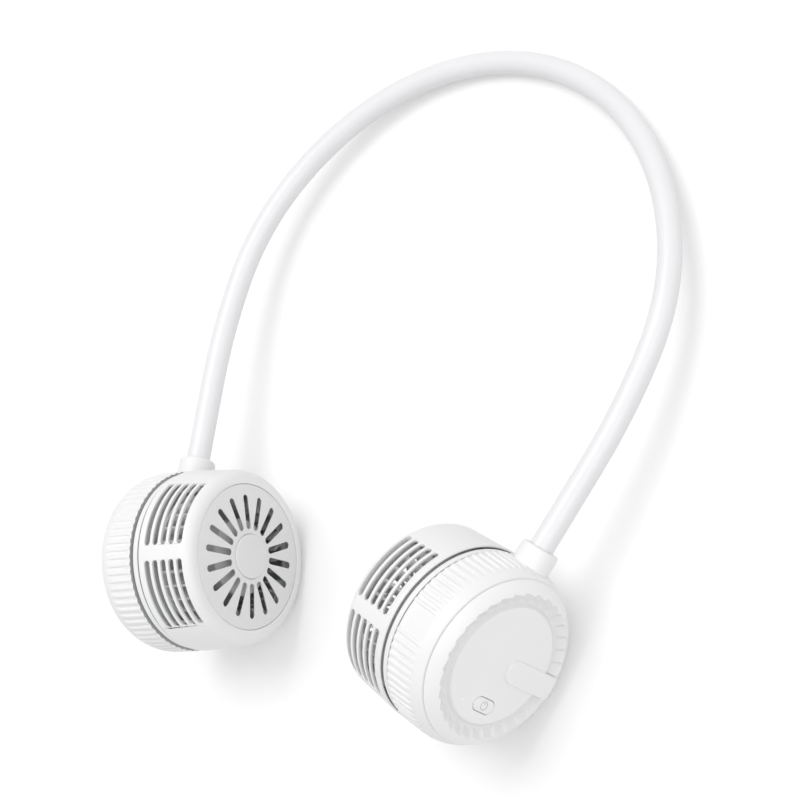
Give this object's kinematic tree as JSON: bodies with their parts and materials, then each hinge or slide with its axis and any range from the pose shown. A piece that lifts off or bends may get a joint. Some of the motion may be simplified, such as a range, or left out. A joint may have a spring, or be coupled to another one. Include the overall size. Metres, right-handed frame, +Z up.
{
  "type": "neck fan",
  "caption": "Hands-free fan worn round the neck: a flexible padded loop carries a ribbed round fan head at each end, with a swivelling vented drum and a radial intake grille.",
  "frame": {"origin": "on the floor under the centre of the bounding box, with the fan lying on its crown and the back edges of both vented drums", "axes": "+X from the left head to the right head, which has the power button; +Y from the open side between the heads to the crown of the loop; +Z up, the side the vents face"},
  "size_m": [0.208, 0.2398, 0.0654],
  "materials": {
    "shell": "satin white",
    "cap": "satin white",
    "grille": "satin white, a shade greyer than the shell",
    "sleeve": "soft matt white silicone",
    "steel": "bright zinc-plated or stainless",
    "bronze": "sintered bronze",
    "laminations": "lacquered iron with copper windings",
    "magnet": "dark bonded magnet",
    "foil": "matt pouch foil",
    "circuit": "green solder mask",
    "lead": "red insulation",
    "switch": "black",
    "light": "clear light guide"
  },
  "bodies": {
    "neck": {"neck_sleeve": "sleeve", "neck_core": "steel", "neck_leads": "lead", "left_collar": "shell", "left_ribbed_housing": "shell", "left_end_cap": "cap", "left_battery": "foil", "left_swivel_ring": "shell", "right_collar": "shell", "right_ribbed_housing": "shell", "right_end_cap": "cap", "right_battery": "foil", "right_swivel_ring": "shell", "control_board": "circuit", "board_screws": "steel", "button_switch": "switch", "status_light": "light", "charging_socket": "steel"},
    "left_fan": {"left_vent_drum": "shell", "left_intake_grille": "grille", "left_grille_centre": "grille", "left_motor_plate": "shell", "left_retaining_washer": "steel", "left_washer_screws": "steel", "left_motor_board": "circuit", "left_motor_stator": "laminations", "left_bearings": "bronze"},
    "left_impeller": {"left_impeller": "shell", "left_magnet_ring": "magnet", "left_motor_shaft": "steel"},
    "right_fan": {"right_vent_drum": "shell", "right_intake_grille": "grille", "right_grille_centre": "grille", "right_motor_plate": "shell", "right_retaining_washer": "steel", "right_washer_screws": "steel", "right_motor_board": "circuit", "right_motor_stator": "laminations", "right_bearings": "bronze"},
    "right_impeller": {"right_impeller": "shell", "right_magnet_ring": "magnet", "right_motor_shaft": "steel"},
    "power_button": {"power_button": "cap"}
  },
  "joints": [
    {"name": "left_swivel", "type": "hinge", "parent": "neck", "child": "left_fan", "pos_m": [-0.07524, -0.08769, 0.03287], "axis": [0.9664, 0.2546, -0.0359], "range_deg": [-90, 90]},
    {"name": "right_swivel", "type": "hinge", "parent": "neck", "child": "right_fan", "pos_m": [0.07524, -0.08769, 0.03287], "axis": [-0.9664, 0.2546, -0.0359], "range_deg": [-90, 90]},
    {"name": "left_impeller_spin", "type": "hinge", "parent": "left_fan", "child": "left_impeller", "pos_m": [-0.05398, -0.08209, 0.03208], "axis": [0.9664, 0.2546, -0.0359], "continuous": true},
    {"name": "right_impeller_spin", "type": "hinge", "parent": "right_fan", "child": "right_impeller", "pos_m": [0.05398, -0.08209, 0.03208], "axis": [-0.9664, 0.2546, -0.0359], "continuous": true},
    {"name": "power_button_press", "type": "slide", "parent": "neck", "child": "power_button", "axis": [-0.9664, 0.2546, -0.0359], "range_m": [0, 0.0004], "stiffness_N_per_m": 1500, "springref_m": -0.0003}
  ]
}
